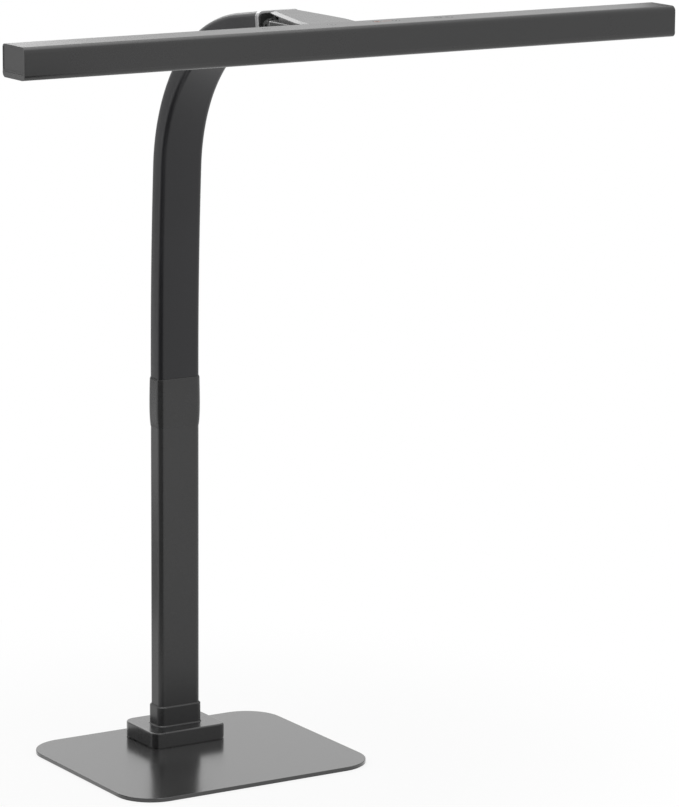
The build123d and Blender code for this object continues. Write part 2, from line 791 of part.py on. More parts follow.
# ------------------------------------------------------------------ head bracket and covers
# Cast bracket: a slotted barrel between the ears, a tongue and a flange on the bar's back.
flange_plane = Plane(origin=(stem_x, bar_back_y, pivot_z), x_dir=(-1, 0, 0), z_dir=(0, 1, 0))
slot_width = 2 * cable_way_radius
with BuildPart() as hinge_bracket:
    with BuildSketch(side_plane.offset(-barrel_width / 2)):
        with Locations((pivot_y, pivot_z)):
            Circle(barrel_radius)
        with Locations((pivot_y, pivot_z - tongue_below)):
            Rectangle(head_reach, tongue_below + tongue_above, align=(Align.MAX, Align.MIN))
    extrude(amount=barrel_width)
    with BuildSketch(flange_plane):
        with Locations((0, -flange_below)):
            Rectangle(
                flange_width, flange_below + flange_above, align=(Align.CENTER, Align.MIN)
            )
        with GridLocations(bracket_screw_spacing, 0, 2, 1):
            Circle(bracket_screw_radius + screw_gap, mode=Mode.SUBTRACT)
    extrude(amount=flange_thickness)
    with BuildSketch(side_plane.offset(-slot_width / 2)):
        with Locations((pivot_y + barrel_radius, pivot_z + cable_way_radius)):
            Rectangle(
                head_reach + barrel_radius, 2 * barrel_radius, align=(Align.MAX, Align.MAX)
            )
        with Locations((pivot_y - slot_setback, pivot_z)):
            Rectangle(2 * barrel_radius, 2 * barrel_radius, align=(Align.MIN, Align.CENTER))
    extrude(amount=slot_width, mode=Mode.SUBTRACT)
    with BuildSketch(side_plane.offset(-barrel_width / 2)):
        with Locations((pivot_y, pivot_z)):
            Circle(hinge_screw_radius + screw_gap)
    extrude(amount=barrel_width, mode=Mode.SUBTRACT)
hinge_bracket.part.label = "hinge_bracket"
export_step(hinge_bracket.part, "parts/hinge_bracket.step")

# Screws through the flange and the bar's back into two nut plates inside the bar.
with BuildPart() as bracket_screws:
    with BuildSketch(flange_plane.offset(flange_thickness)):
        with GridLocations(bracket_screw_spacing, 0, 2, 1):
            Circle(bracket_screw_head_radius)
    extrude(amount=bracket_screw_head)
    with BuildSketch(flange_plane.offset(flange_thickness)):
        with GridLocations(bracket_screw_spacing, 0, 2, 1):
            Circle(bracket_screw_radius)
    extrude(amount=-(flange_thickness + housing_wall + nut_plate_thickness))
bracket_screws.part.label = "bracket_screws"
export_step(bracket_screws.part, "parts/bracket_screws.step")

with BuildPart() as nut_plates:
    with BuildSketch(flange_plane.offset(-housing_wall)):
        with GridLocations(bracket_screw_spacing, 0, 2, 1):
            Rectangle(nut_plate_width, nut_plate_height)
            Circle(bracket_screw_radius + screw_gap, mode=Mode.SUBTRACT)
    extrude(amount=-nut_plate_thickness)
nut_plates.part.label = "nut_plates"
export_step(nut_plates.part, "parts/nut_plates.step")

# Lower cover: a tray with a deck on which the upper cover stands.
boss_places = [
    (stem_x - cover_screw_spacing / 2, pivot_y - cover_screw_reach),
    (stem_x + cover_screw_spacing / 2, pivot_y - cover_screw_reach),
]
tray_length = head_reach - cover_setback
tongue_way = barrel_width + 2 * running_gap
flange_way = flange_thickness + bracket_screw_head + 2 * running_gap
with BuildPart() as lower_cover:
    with BuildSketch(Plane.XY.offset(tray_floor_z)) as tray_outline:
        with Locations((stem_x, bar_back_y)):
            Rectangle(2 * tray_half_width, tray_length, align=(Align.CENTER, Align.MIN))
        fillet(tray_outline.vertices().group_by(Axis.Y)[-1], tray_corner)
    extrude(amount=deck_z - tray_floor_z)
    fillet(lower_cover.edges().group_by(Axis.Z)[0].sort_by(Axis.Y)[1:], tray_edge)
    fillet(lower_cover.edges().group_by(Axis.Z)[-1].sort_by(Axis.Y)[1:], deck_edge)
    with BuildSketch(Plane.XY.offset(tray_floor_z + cover_wall)) as tray_inside:
        with Locations((stem_x, bar_back_y)):
            Rectangle(
                2 * (tray_half_width - cover_wall),
                tray_length - cover_wall,
                align=(Align.CENTER, Align.MIN),
            )
        fillet(tray_inside.vertices().group_by(Axis.Y)[-1], tray_corner - cover_wall)
        with Locations(*boss_places):
            Circle(cover_boss_radius, mode=Mode.SUBTRACT)
    extrude(amount=deck_z - tray_floor_z - 2 * cover_wall, mode=Mode.SUBTRACT)
    with BuildSketch(Plane.XY.offset(pivot_z - tongue_below - running_gap)):
        with Locations((stem_x, bar_back_y)):
            Rectangle(tongue_way, head_reach, align=(Align.CENTER, Align.MIN))
    extrude(amount=deck_z - pivot_z + tongue_below + running_gap, mode=Mode.SUBTRACT)
    with BuildSketch(Plane.XY.offset(deck_z)):
        with Locations((stem_x, bar_back_y)):
            Rectangle(
                flange_width + 2 * running_gap, flange_way, align=(Align.CENTER, Align.MIN)
            )
    extrude(amount=-cover_wall, mode=Mode.SUBTRACT)
    with BuildSketch(Plane.XY.offset(tray_floor_z)):
        with Locations(*boss_places):
            Circle(cover_screw_radius + screw_gap)
    extrude(amount=deck_z - tray_floor_z, mode=Mode.SUBTRACT)
    with BuildSketch(Plane.XY.offset(tray_floor_z)):
        with Locations(*boss_places):
            Circle(cover_screw_head_radius + screw_gap)
    extrude(amount=cover_screw_head + fit_gap, mode=Mode.SUBTRACT)
lower_cover.part.label = "lower_cover"
export_step(lower_cover.part, "parts/lower_cover.step")

roof = Plane(
    origin=(stem_x, pivot_y, pivot_z + top_rise_back - roof_slope * visor_setback),
    x_dir=(1, 0, 0),
    z_dir=(0, -roof_slope, 1),
)


def cover_face(inset, back, back_half_width, corner):
    """Plan of the upper cover, drawn from the hinge axis and set in from its rim."""
    back_half = back_half_width - inset
    shoulder_half = shoulder_half_width - inset
    root_half = root_half_width - inset
    with BuildSketch() as face:
        with BuildLine():
            for way in (-1, 1):
                ThreePointArc(
                    (way * back_half, back),
                    (way * shoulder_half, -shoulder_reach),
                    (way * root_half, -root_reach),
                )
                Line((way * root_half, -root_reach), (way * root_half, -head_reach))
            Line((-root_half, -head_reach), (root_half, -head_reach))
            Line((-back_half, back), (back_half, back))
        make_face()
        fillet(face.vertices().group_by(Axis.Y)[-1], corner)
        fillet(face.vertices().group_by(Axis.Y)[1], root_round)
    return face.sketch


# Upper cover: a sloping roof that runs back over the hinge, on walls set in from its rim.
wall_lean = (shoulder_half_width - visor_half_width) / (visor_setback + shoulder_reach)
wall_half_width = visor_half_width + wall_lean * (visor_setback + cover_setback)
cover_screw_top = pivot_z + top_rise_front - 0.9
with BuildPart() as upper_cover:
    with BuildSketch(roof):
        add(cover_face(0, visor_setback, visor_half_width, visor_corner))
    extrude(amount=-visor_skin)
    roof_up = Axis(roof.origin, roof.z_dir)
    roof_top = upper_cover.faces().sort_by(roof_up)[-1]
    chamfer(
        roof_top.edges().sort_by(Axis.Y)[1:],
        length=visor_crown,
        length2=visor_fall,
        reference=roof_top,
    )
    roof_top = upper_cover.faces().sort_by(roof_up)[-1]
    fillet(roof_top.edges().sort_by(Axis.Y)[1:], visor_ease)
    with BuildSketch(roof.offset(-visor_skin)):
        add(cover_face(visor_recess, -cover_setback, wall_half_width, visor_corner))
        add(
            cover_face(
                visor_recess + cover_wall,
                -cover_setback - cover_wall,
                wall_half_width + wall_lean * cover_wall,
                visor_corner - cover_wall,
            ),
            mode=Mode.SUBTRACT,
        )
    extrude(amount=-top_rise_back)
    split(bisect_by=Plane.XY.offset(deck_z), keep=Keep.TOP)
    with BuildSketch(Plane.XY.offset(deck_z)):
        with Locations(*boss_places):
            Circle(cover_boss_radius)
    extrude(amount=top_rise_front - deck_rise)
    with BuildSketch(Plane.XY.offset(deck_z)):
        with Locations(*boss_places):
            Circle(cover_screw_radius + screw_gap)
    extrude(amount=cover_screw_top + fit_gap - deck_z, mode=Mode.SUBTRACT)
    if tongue_above + running_gap > deck_rise:
        with BuildSketch(Plane.XY.offset(deck_z)):
            with Locations((stem_x, bar_back_y)):
                Rectangle(tongue_way, head_reach, align=(Align.CENTER, Align.MIN))
        extrude(amount=tongue_above + running_gap - deck_rise, mode=Mode.SUBTRACT)
upper_cover.part.label = "upper_cover"
export_step(upper_cover.part, "parts/upper_cover.step")

with BuildPart() as cover_screws:
    with BuildSketch(Plane.XY.offset(tray_floor_z + fit_gap)):
        with Locations(*boss_places):
            Circle(cover_screw_head_radius)
    extrude(amount=cover_screw_head)
    with BuildSketch(Plane.XY.offset(tray_floor_z + fit_gap)):
        with Locations(*boss_places):
            Circle(cover_screw_radius)
    extrude(amount=cover_screw_top - tray_floor_z - fit_gap)
cover_screws.part.label = "cover_screws"
export_step(cover_screws.part, "parts/cover_screws.step")

# ------------------------------------------------------------------ light bar
with BuildSketch() as bar_section:
    with Locations((bar_middle_y, bezel_top_z)):
        Rectangle(bar_depth, bar_height - bezel_height, align=(Align.CENTER, Align.MIN))
    fillet(bar_section.vertices().group_by(Axis.Y)[-1].sort_by(Axis.X)[0], bar_front_corner)
    fillet(bar_section.vertices().group_by(Axis.Y)[-1].sort_by(Axis.X)[-1], bar_back_corner)

# Extruded aluminium housing: an open channel for the lights under a closed loft.
with BuildSketch() as loft_section:
    with Locations((bar_middle_y, web_top_z)):
        Rectangle(housing_inner, loft_height, align=(Align.CENTER, Align.MIN))
    fillet(loft_section.vertices().group_by(Axis.Y)[-1], loft_corner)

key_y = bar_middle_y + touch_key_setback
key_places = [(stem_x + place, key_y) for place in touch_key_places]
with BuildPart() as bar_housing:
    with BuildSketch(Plane.YZ.offset(bar_left_x + cap_thickness)):
        add(bar_section.sketch)
        add(loft_section.sketch, mode=Mode.SUBTRACT)
        with Locations((bar_middle_y, bezel_top_z)):
            Rectangle(
                housing_inner,
                web_bottom_z - bezel_top_z,
                align=(Align.CENTER, Align.MIN),
                mode=Mode.SUBTRACT,
            )
    extrude(amount=housing_length)
    with BuildSketch(flange_plane):
        Circle(cable_way_radius)
        with GridLocations(bracket_screw_spacing, 0, 2, 1):
            Circle(bracket_screw_radius + screw_gap)
    extrude(amount=-housing_wall, mode=Mode.SUBTRACT)
    with BuildSketch(Plane.XY.offset(bar_top_z)):
        with Locations(*key_places):
            Circle(touch_key_radius + fit_gap)
    extrude(amount=-housing_top, mode=Mode.SUBTRACT)
bar_housing.part.label = "bar_housing"
export_step(bar_housing.part, "parts/bar_housing.step")

# Moulded frame that closes the bar from below and holds the diffuser.
opening_length = bar_length - 2 * bezel_end_border
opening_width = bar_depth - 2 * bezel_border
tongue_place = housing_inner / 2 - fit_gap - bezel_tongue_wall / 2
with BuildPart() as bottom_frame:
    with BuildSketch(Plane.YZ.offset(bar_left_x)) as frame_section:
        with Locations((bar_middle_y, bar_bottom_z)):
            Rectangle(bar_depth, bezel_height, align=(Align.CENTER, Align.MIN))
        fillet(frame_section.vertices().group_by(Axis.Y)[0], bezel_corner)
    extrude(amount=bar_length)
    with BuildSketch(Plane.XY.offset(bar_bottom_z)):
        with Locations((stem_x, bar_middle_y)):
            Rectangle(opening_length, opening_width)
    extrude(amount=bezel_height, mode=Mode.SUBTRACT)
    with BuildSketch(Plane.XY.offset(bar_bottom_z + bezel_lip)):
        with Locations((stem_x, bar_middle_y)):
            Rectangle(opening_length + 2 * bezel_rebate, opening_width + 2 * bezel_rebate)
    extrude(amount=bezel_height, mode=Mode.SUBTRACT)
    with BuildSketch(Plane.XY.offset(bezel_top_z)):
        with Locations((stem_x, bar_middle_y)):
            with GridLocations(0, 2 * tongue_place, 1, 2):
                Rectangle(housing_length - 2 * fit_gap, bezel_tongue_wall)
    extrude(amount=bezel_tongue)
bottom_frame.part.label = "bottom_frame"
export_step(bottom_frame.part, "parts/bottom_frame.step")

with BuildPart() as diffuser:
    with BuildSketch(Plane.XY.offset(bar_bottom_z + bezel_lip)):
        with Locations((stem_x, bar_middle_y)):
            Rectangle(
                opening_length + 2 * (bezel_rebate - fit_gap),
                opening_width + 2 * (bezel_rebate - fit_gap),
            )
    extrude(amount=diffuser_thickness)
diffuser.part.label = "diffuser"
export_step(diffuser.part, "parts/diffuser.step")

# End caps with a raised rim outside and a hollow plug that fits the loft.
for side, outer_x, way in (("left", bar_left_x, 1), ("right", bar_right_x, -1)):
    with BuildPart() as end_cap:
        with BuildSketch(Plane.YZ.offset(outer_x)):
            add(bar_section.sketch)
        extrude(amount=way * cap_thickness)
        fillet(end_cap.edges().group_by(Axis.X)[0 if way > 0 else -1], cap_edge)
        with BuildSketch(Plane.YZ.offset(outer_x)):
            add(bar_section.sketch)
            offset(amount=-cap_rim, mode=Mode.REPLACE)
        extrude(amount=way * cap_recess, mode=Mode.SUBTRACT)
        with BuildSketch(Plane.YZ.offset(outer_x + way * cap_thickness)) as spigot:
            add(loft_section.sketch)
            offset(amount=-fit_gap, mode=Mode.REPLACE)
            offset(amount=-cap_spigot_wall, mode=Mode.SUBTRACT)
        extrude(amount=way * cap_spigot)
    end_cap.part.label = f"end_cap_{side}"
    export_step(end_cap.part, f"parts/end_cap_{side}.step")

# ------------------------------------------------------------------ electronics
with BuildPart() as led_board:
    with BuildSketch(Plane.XY.offset(web_bottom_z)):
        with Locations((stem_x, bar_middle_y)):
            Rectangle(housing_length - 2 * led_board_margin, led_board_width)
    extrude(amount=-board_thickness)
led_board.part.label = "led_board"
export_step(led_board.part, "parts/led_board.step")

with BuildPart() as led_chips:
    with BuildSketch(Plane.XY.offset(web_bottom_z - board_thickness)):
        with Locations((stem_x, bar_middle_y)):
            with GridLocations(led_pitch, 0, led_count, 1):
                Rectangle(led_length, led_width)
    extrude(amount=-led_height)
led_chips.part.label = "led_chips"
export_step(led_chips.part, "parts/led_chips.step")

# Touch keys set flush in the housing's top, and the sensing board behind them.
with BuildPart() as touch_keys:
    with BuildSketch(Plane.XY.offset(bar_top_z)):
        with Locations(*key_places):
            Circle(touch_key_radius)
    extrude(amount=-housing_top)
touch_keys.part.label = "touch_keys"
export_step(touch_keys.part, "parts/touch_keys.step")

with BuildPart() as touch_board:
    with BuildSketch(Plane.XY.offset(loft_top_z)):
        with Locations((stem_x + touch_board_place, bar_middle_y)):
            Rectangle(touch_board_length, touch_board_width)
    extrude(amount=-board_thickness)
touch_board.part.label = "touch_board"
export_step(touch_board.part, "parts/touch_board.step")

# Driver board on the web, with its connector, two coils and a row of chips.
driver_x = stem_x + driver_board_place
driver_top_z = web_top_z + board_thickness
connector_x = driver_x - driver_board_length / 2 + connector_length / 2 + 0.5
cable_turn_y = bar_back_y - head_cable_turn
with BuildPart() as driver_board:
    with BuildSketch(Plane.XY.offset(web_top_z)):
        with Locations((driver_x, bar_middle_y)):
            Rectangle(driver_board_length, driver_board_width)
    extrude(amount=board_thickness)
driver_board.part.label = "driver_board"
export_step(driver_board.part, "parts/driver_board.step")

with BuildPart() as driver_connector:
    with BuildSketch(Plane.XY.offset(driver_top_z)):
        with Locations((connector_x, cable_turn_y)):
            Rectangle(connector_length, connector_width)
    extrude(amount=connector_height)
driver_connector.part.label = "driver_connector"
export_step(driver_connector.part, "parts/driver_connector.step")

with BuildPart() as driver_coils:
    with BuildSketch(Plane.XY.offset(driver_top_z)):
        with Locations((driver_x - coil_spacing, bar_middle_y)):
            with GridLocations(coil_spacing, 0, 2, 1):
                Circle(coil_radius)
    extrude(amount=coil_height)
driver_coils.part.label = "driver_coils"
export_step(driver_coils.part, "parts/driver_coils.step")

with BuildPart() as driver_chips:
    with BuildSketch(Plane.XY.offset(driver_top_z)):
        with Locations((driver_x + 2 * chip_spacing, bar_middle_y)):
            with GridLocations(chip_spacing, 0, 3, 1):
                Rectangle(chip_size, chip_size)
    extrude(amount=chip_height)
driver_chips.part.label = "driver_chips"
export_step(driver_chips.part, "parts/driver_chips.step")

# Cable from the hinge, along the bracket's slot and into the bar.
connector_face_x = connector_x - connector_length / 2
with BuildPart() as head_cable:
    with BuildLine() as head_route:
        FilletPolyline(
            (stem_x, pivot_y - lead_standoff, pivot_z),
            (stem_x, cable_turn_y, pivot_z),
            (connector_face_x - fit_gap, cable_turn_y, pivot_z),
            radius=head_cable_bend,
        )
    with BuildSketch(
        Plane(origin=(stem_x, pivot_y - lead_standoff, pivot_z), x_dir=(1, 0, 0), z_dir=(0, -1, 0))
    ):
        Circle(cable_radius)
    sweep(path=head_route.line)
head_cable.part.label = "head_cable"
export_step(head_cable.part, "parts/head_cable.step")
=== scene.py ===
# Piano lamp: a flat base plate, an upright post, a bending neck and a tilting 600 mm light bar.
# Metres. The origin is the middle of the foam pad's underside; X right, Y back, Z up.
import math

import bpy
import numpy as np
from mathutils import Matrix, Vector


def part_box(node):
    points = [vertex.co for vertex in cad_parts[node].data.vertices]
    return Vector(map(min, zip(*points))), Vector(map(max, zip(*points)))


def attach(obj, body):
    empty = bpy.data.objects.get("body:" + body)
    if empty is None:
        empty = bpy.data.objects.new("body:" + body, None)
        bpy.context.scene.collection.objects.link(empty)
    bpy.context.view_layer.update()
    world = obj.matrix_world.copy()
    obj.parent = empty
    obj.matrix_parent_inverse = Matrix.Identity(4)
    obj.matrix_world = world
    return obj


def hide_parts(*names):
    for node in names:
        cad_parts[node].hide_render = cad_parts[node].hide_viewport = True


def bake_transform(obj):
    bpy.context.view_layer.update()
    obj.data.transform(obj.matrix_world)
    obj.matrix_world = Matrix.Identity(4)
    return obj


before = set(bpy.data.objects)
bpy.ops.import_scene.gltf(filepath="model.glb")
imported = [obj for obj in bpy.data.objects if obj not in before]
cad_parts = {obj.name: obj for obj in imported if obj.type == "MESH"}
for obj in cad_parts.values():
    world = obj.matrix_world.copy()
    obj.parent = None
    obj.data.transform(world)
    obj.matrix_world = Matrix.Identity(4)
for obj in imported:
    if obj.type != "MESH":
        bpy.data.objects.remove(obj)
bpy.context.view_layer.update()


# ---- Camera ------------------------------------------------------------------------------
# A long lens stands in front of the lamp and to its left, higher than the bar, and takes in the
# whole lamp, from the far end of the bar to the near corner of the plate.
camera = bpy.data.objects.new("camera", bpy.data.cameras.new("camera"))
bpy.context.scene.collection.objects.link(camera)
camera.data.lens = 191.10
camera.data.sensor_width = 36.0
camera.data.clip_end = 60.0
camera_place = Vector((-1.775840, -3.064269, 1.029631))
camera_across = Vector((0.84875025, -0.52875810, 0.00613437))
camera_up = Vector((0.10020733, 0.17221936, 0.97994845))
camera_turn = Matrix((camera_across, camera_up, camera_across.cross(camera_up))).transposed()
camera.matrix_world = Matrix.Translation(camera_place) @ camera_turn.to_4x4()
bpy.context.scene.camera = camera
bpy.context.scene.view_settings.view_transform = "Standard"


# ---- Studio ------------------------------------------------------------------------------
# A white table runs on into white surroundings. One large soft lamp hangs above, one stands at
# the left and one behind. Black cards round the lamp show only as dark bands in its gloss.
def put_mesh(name, points, faces):
    """A new object at the origin whose mesh has these points (rows of x, y, z) and faces."""
    mesh = bpy.data.meshes.new(name)
    mesh.from_pydata(np.asarray(points, float).reshape(-1, 3).tolist(), [], faces)
    mesh.update()
    made = bpy.data.objects.new(name, mesh)
    bpy.context.scene.collection.objects.link(made)
    return made


def add(tree, kind, settings, feeds):
    """One shader node. settings are its own choices; feeds gives inputs a value or an output."""
    made = tree.nodes.new("ShaderNode" + kind)
    for key, value in settings.items():
        setattr(made, key, value)
    for key, value in feeds.items():
        if isinstance(value, bpy.types.NodeSocket):
            tree.links.new(value, made.inputs[key])
        else:
            made.inputs[key].default_value = value
    return made


def seen_as_background(tree):
    """1 for rays that show the surroundings: to the camera, in a gloss or through a clear part."""
    path = add(tree, "LightPath", {}, {}).outputs
    first = add(tree, "Math", {"operation": "MAXIMUM"},
                {0: path["Is Camera Ray"], 1: path["Is Glossy Ray"]})
    return add(tree, "Math", {"operation": "MAXIMUM"},
               {0: first.outputs[0], 1: path["Is Transmission Ray"]}).outputs[0]


room_strength = 0.62
world = bpy.data.worlds.new("studio")
bpy.context.scene.world = world
world.use_nodes = True
sky = world.node_tree
sky.nodes.clear()
room_light = add(sky, "Background", {}, {"Color": (1, 1, 1, 1), "Strength": room_strength})
room_white = add(sky, "Background", {}, {"Color": (1, 1, 1, 1), "Strength": 1.0})
room = add(sky, "MixShader", {}, {0: seen_as_background(sky), 1: room_light.outputs[0],
                                  2: room_white.outputs[0]})
add(sky, "OutputWorld", {}, {"Surface": room.outputs[0]})

# Seen directly, the table glows white from the distance white_from outwards. Within shade_to of
# the lamp's middle a little of its lit skin shows through, and with it the lamp's shadow.
table_reach = 14.0
shade_to, white_from, near_glow = 0.18, 0.5, 0.84
table = put_mesh("table", [(-table_reach, -table_reach, 0), (table_reach, -table_reach, 0),
                           (table_reach, table_reach, 0), (-table_reach, table_reach, 0)],
                 [(0, 1, 2, 3)])
table_white = bpy.data.materials.new("table_white")
table_white.use_nodes = True
top = table_white.node_tree
top.nodes.clear()
top_grain = add(top, "TexNoise", {}, {"Vector": add(top, "TexCoord", {}, {}).outputs["Object"],
                                      "Scale": 6.0, "Detail": 3.0})
top_tone = add(top, "MapRange", {}, {"Value": top_grain.outputs[0],
                                     "To Min": 0.78, "To Max": 0.82})
top_skin = add(top, "BsdfPrincipled", {}, {"Base Color": top_tone.outputs[0], "Roughness": 0.9,
                                           "Specular IOR Level": 0.1})
top_glow = add(top, "Emission", {}, {"Color": (1, 1, 1, 1), "Strength": 1.0})
top_far = add(top, "VectorMath", {"operation": "LENGTH"},
              {0: add(top, "TexCoord", {}, {}).outputs["Object"]}).outputs["Value"]
top_fade = add(top, "MapRange", {"interpolation_type": "SMOOTHSTEP"},
               {"Value": top_far, "From Min": shade_to, "From Max": white_from,
                "To Min": near_glow, "To Max": 1.0})
top_share = add(top, "Math", {"operation": "MULTIPLY"},
                {0: seen_as_background(top), 1: top_fade.outputs[0]})
top_mix = add(top, "MixShader", {}, {0: top_share.outputs[0], 1: top_skin.outputs[0],
                                     2: top_glow.outputs[0]})
add(top, "OutputMaterial", {}, {"Surface": top_mix.outputs[0]})
table.data.materials.append(table_white)


def soft_lamp(name, place, aim, size, power):
    """A square lamp of that side length, at place, facing aim."""
    lamp = bpy.data.lights.new(name, "AREA")
    lamp.shape = "SQUARE"
    lamp.size = size
    lamp.energy = power
    made = bpy.data.objects.new(name, lamp)
    made.location = place
    made.rotation_euler = (Vector(aim) - Vector(place)).to_track_quat("-Z", "Y").to_euler()
    bpy.context.scene.collection.objects.link(made)
    return made


lamp_middle = (0.0, -0.05, 0.33)
neck_middle = (0.0, -0.1, 0.55)
top_lamp = soft_lamp("top_lamp", (0.0, -0.1, 2.6), lamp_middle, size=2.4, power=27.0)
side_lamp = soft_lamp("side_lamp", (-2.6, 0.6, 1.7), lamp_middle, size=2.0, power=14.0)
back_lamp = soft_lamp("back_lamp", (0.50, 2.12, 1.66), neck_middle, size=1.0, power=6.3)

card_middle_x, card_middle_y = 0.007, 0.056
card_radius, front_card_radius = 0.34, 0.5
card_seam_z, card_head_z = 0.36, 0.604


def curved_card(name, radius, start, end, low, high, steps=12):
    """An upright sheet bent to a circle about the post, between two turns in degrees: each
    point is the post's place less radius times the turn's sine in X and cosine in Y."""
    turns = np.radians(np.linspace(start, end, steps))
    foot = np.stack([card_middle_x - radius * np.sin(turns),
                     card_middle_y - radius * np.cos(turns), np.full(steps, low)], -1)
    return put_mesh(name, np.concatenate([foot, foot + (0, 0, high - low)]),
                    [(n, n + 1, n + steps + 1, n + steps) for n in range(steps - 1)])


def upright_card(name, first, second, low, high):
    """A flat upright sheet between two corners of its foot."""
    return put_mesh(name, [(*first, low), (*second, low), (*second, high), (*first, high)],
                    [(0, 1, 2, 3)])


cards = [curved_card("low_card", card_radius, 20, 106, 0.004, card_seam_z),
         curved_card("high_card", card_radius, 64, 106, card_seam_z, card_head_z),
         curved_card("front_card", front_card_radius, 20, 64, card_seam_z, card_head_z),
         upright_card("far_card", (-0.80, 1.12), (-0.56, 1.30), low=0.11, high=0.9),
         put_mesh("floor_card", [(-0.265, 0.415, 0.003), (-0.180, 0.466, 0.003),
                                 (-0.366, 0.875, 0.003), (-0.537, 0.773, 0.003)], [(0, 1, 2, 3)]),
         upright_card("side_card", (1.01, 0.752), (1.34, 0.38), low=0.3, high=1.1)]
card_black = bpy.data.materials.new("card_black")
card_black.use_nodes = True
card_skin = card_black.node_tree.nodes["Principled BSDF"].inputs
card_skin["Base Color"].default_value = (0.01, 0.01, 0.01, 1)
card_skin["Roughness"].default_value = 1.0
for card in cards:
    card.data.materials.append(card_black)
    card.visible_camera = False
    card.visible_diffuse = False
    card.visible_shadow = False
    card.visible_transmission = False


# ---- Foam pad and base plate --------------------------------------------------------------
# The plate is 3 mm steel, cut with wide corners and powder-coated in a fine sandy dark grey.
# A thin closed-cell foam pad is glued under it, and four countersunk screws hold the block.
def effect(name, takes, gives):
    """An empty shader node group with these named sockets, its entry outputs and its exit."""
    tree = bpy.data.node_groups.new(name, "ShaderNodeTree")
    for label, kind, default in takes:
        made = tree.interface.new_socket(label, in_out="INPUT", socket_type="NodeSocket" + kind)
        if default is not None:
            made.default_value = default
    for label, kind in gives:
        tree.interface.new_socket(label, in_out="OUTPUT", socket_type="NodeSocket" + kind)
    return tree, tree.nodes.new("NodeGroupInput").outputs, tree.nodes.new("NodeGroupOutput").inputs


def mixed(tree, share, first, second):
    """First colour where share is 0, second where it is 1."""
    return add(tree, "Mix", {"data_type": "RGBA"}, {0: share, 6: first, 7: second}).outputs[2]


def spread(tree, value, low, high, start=0.0, end=1.0):
    """Takes a value from the range start to end into the range low to high."""
    return add(tree, "MapRange", {}, {"Value": value, "From Min": start, "From Max": end,
                                      "To Min": low, "To Max": high}).outputs[0]


SKIN_TAKES = [("Coordinates", "Vector", None), ("Dark Tone", "Color", None),
              ("Light Tone", "Color", None), ("Grain Scale", "Float", 1000.0),
              ("Cloud Scale", "Float", 12.0), ("Roughness Low", "Float", 0.3),
              ("Roughness High", "Float", 0.4)]
SKIN_GIVES = [("Colour", "Color"), ("Roughness", "Float"), ("Height", "Float")]


def skin_effect(name, grain, swell=0.35):
    """A group for a painted, moulded or cast skin. Half the grain plus half a slow cloud moves
    the colour from dark to light tone and the roughness from low to high. The height is the
    grain plus swell times the cloud."""
    tree, entry, way_out = effect(name, SKIN_TAKES, SKIN_GIVES)
    fine = grain(tree, entry["Coordinates"], entry["Grain Scale"])
    cloud = add(tree, "TexNoise", {}, {"Vector": entry["Coordinates"],
                                       "Scale": entry["Cloud Scale"], "Detail": 4.0,
                                       "Roughness": 0.55}).outputs[0]
    tone = add(tree, "Math", {"operation": "ADD"},
               {0: spread(tree, fine, 0.0, 0.5), 1: spread(tree, cloud, 0.0, 0.5, 0.3, 0.7)})
    tree.links.new(mixed(tree, tone.outputs[0], entry["Dark Tone"], entry["Light Tone"]),
                   way_out["Colour"])
    rough = add(tree, "MapRange", {}, {"Value": tone.outputs[0],
                                       "To Min": entry["Roughness Low"],
                                       "To Max": entry["Roughness High"]})
    tree.links.new(rough.outputs[0], way_out["Roughness"])
    height = add(tree, "Math", {"operation": "MULTIPLY_ADD"}, {0: cloud, 1: swell, 2: fine})
    tree.links.new(height.outputs[0], way_out["Height"])
    return tree


def sandy_grain(tree, place, scale):
    """Rounded grains side by side, softened by noise of the same size: 0.6 of the distance from
    a grain's middle, plus half of the noise."""
    cells = add(tree, "TexVoronoi", {"feature": "SMOOTH_F1"},
                {"Vector": place, "Scale": scale, "Smoothness": 0.6}).outputs["Distance"]
    noise = add(tree, "TexNoise", {}, {"Vector": place, "Scale": scale, "Detail": 2.0}).outputs[0]
    return add(tree, "Math", {"operation": "MULTIPLY_ADD"},
               {0: cells, 1: 0.6, 2: spread(tree, noise, 0.0, 0.5, 0.25, 0.75)}).outputs[0]


powder_coat = skin_effect("powder_coat", sandy_grain)


def painted_edge_highlight_effect():
    """A painted highlight along edges: where the dot product of the true normal and that of a
    surface rounded by Edge Radius falls from flat_dot towards the edge's lower dot, the output
    climbs from 0 on the flat to 1, and noise breaks it up."""
    flat_dot, lit_dot = 0.93, 0.70
    tree, entry, way_out = effect("painted_edge_highlight", [("Coordinates", "Vector", None),
                                               ("Edge Radius", "Float", 0.0005),
                                               ("Patch Scale", "Float", 120.0)],
                                  [("Highlight", "Float")])
    rounded = add(tree, "Bevel", {"samples": 4}, {"Radius": entry["Edge Radius"]})
    true = add(tree, "NewGeometry", {}, {})
    turn = add(tree, "VectorMath", {"operation": "DOT_PRODUCT"},
               {0: rounded.outputs[0], 1: true.outputs["Normal"]})
    edge = spread(tree, turn.outputs["Value"], 1.0, 0.0, lit_dot, flat_dot)
    patch = add(tree, "TexNoise", {}, {"Vector": entry["Coordinates"],
                                       "Scale": entry["Patch Scale"], "Detail": 3.0}).outputs[0]
    edge_highlight = add(tree, "Math", {"operation": "MULTIPLY"},
              {0: edge, 1: spread(tree, patch, 0.35, 1.0, 0.35, 0.65)})
    tree.links.new(edge_highlight.outputs[0], way_out["Highlight"])
    return tree


# The group that paints a highlight along edges.
painted_edge_highlight = painted_edge_highlight_effect()


def grey(value, blue=1.0):
    """A neutral linear colour; blue above 1 cools it."""
    return (value, value, value * blue, 1.0)


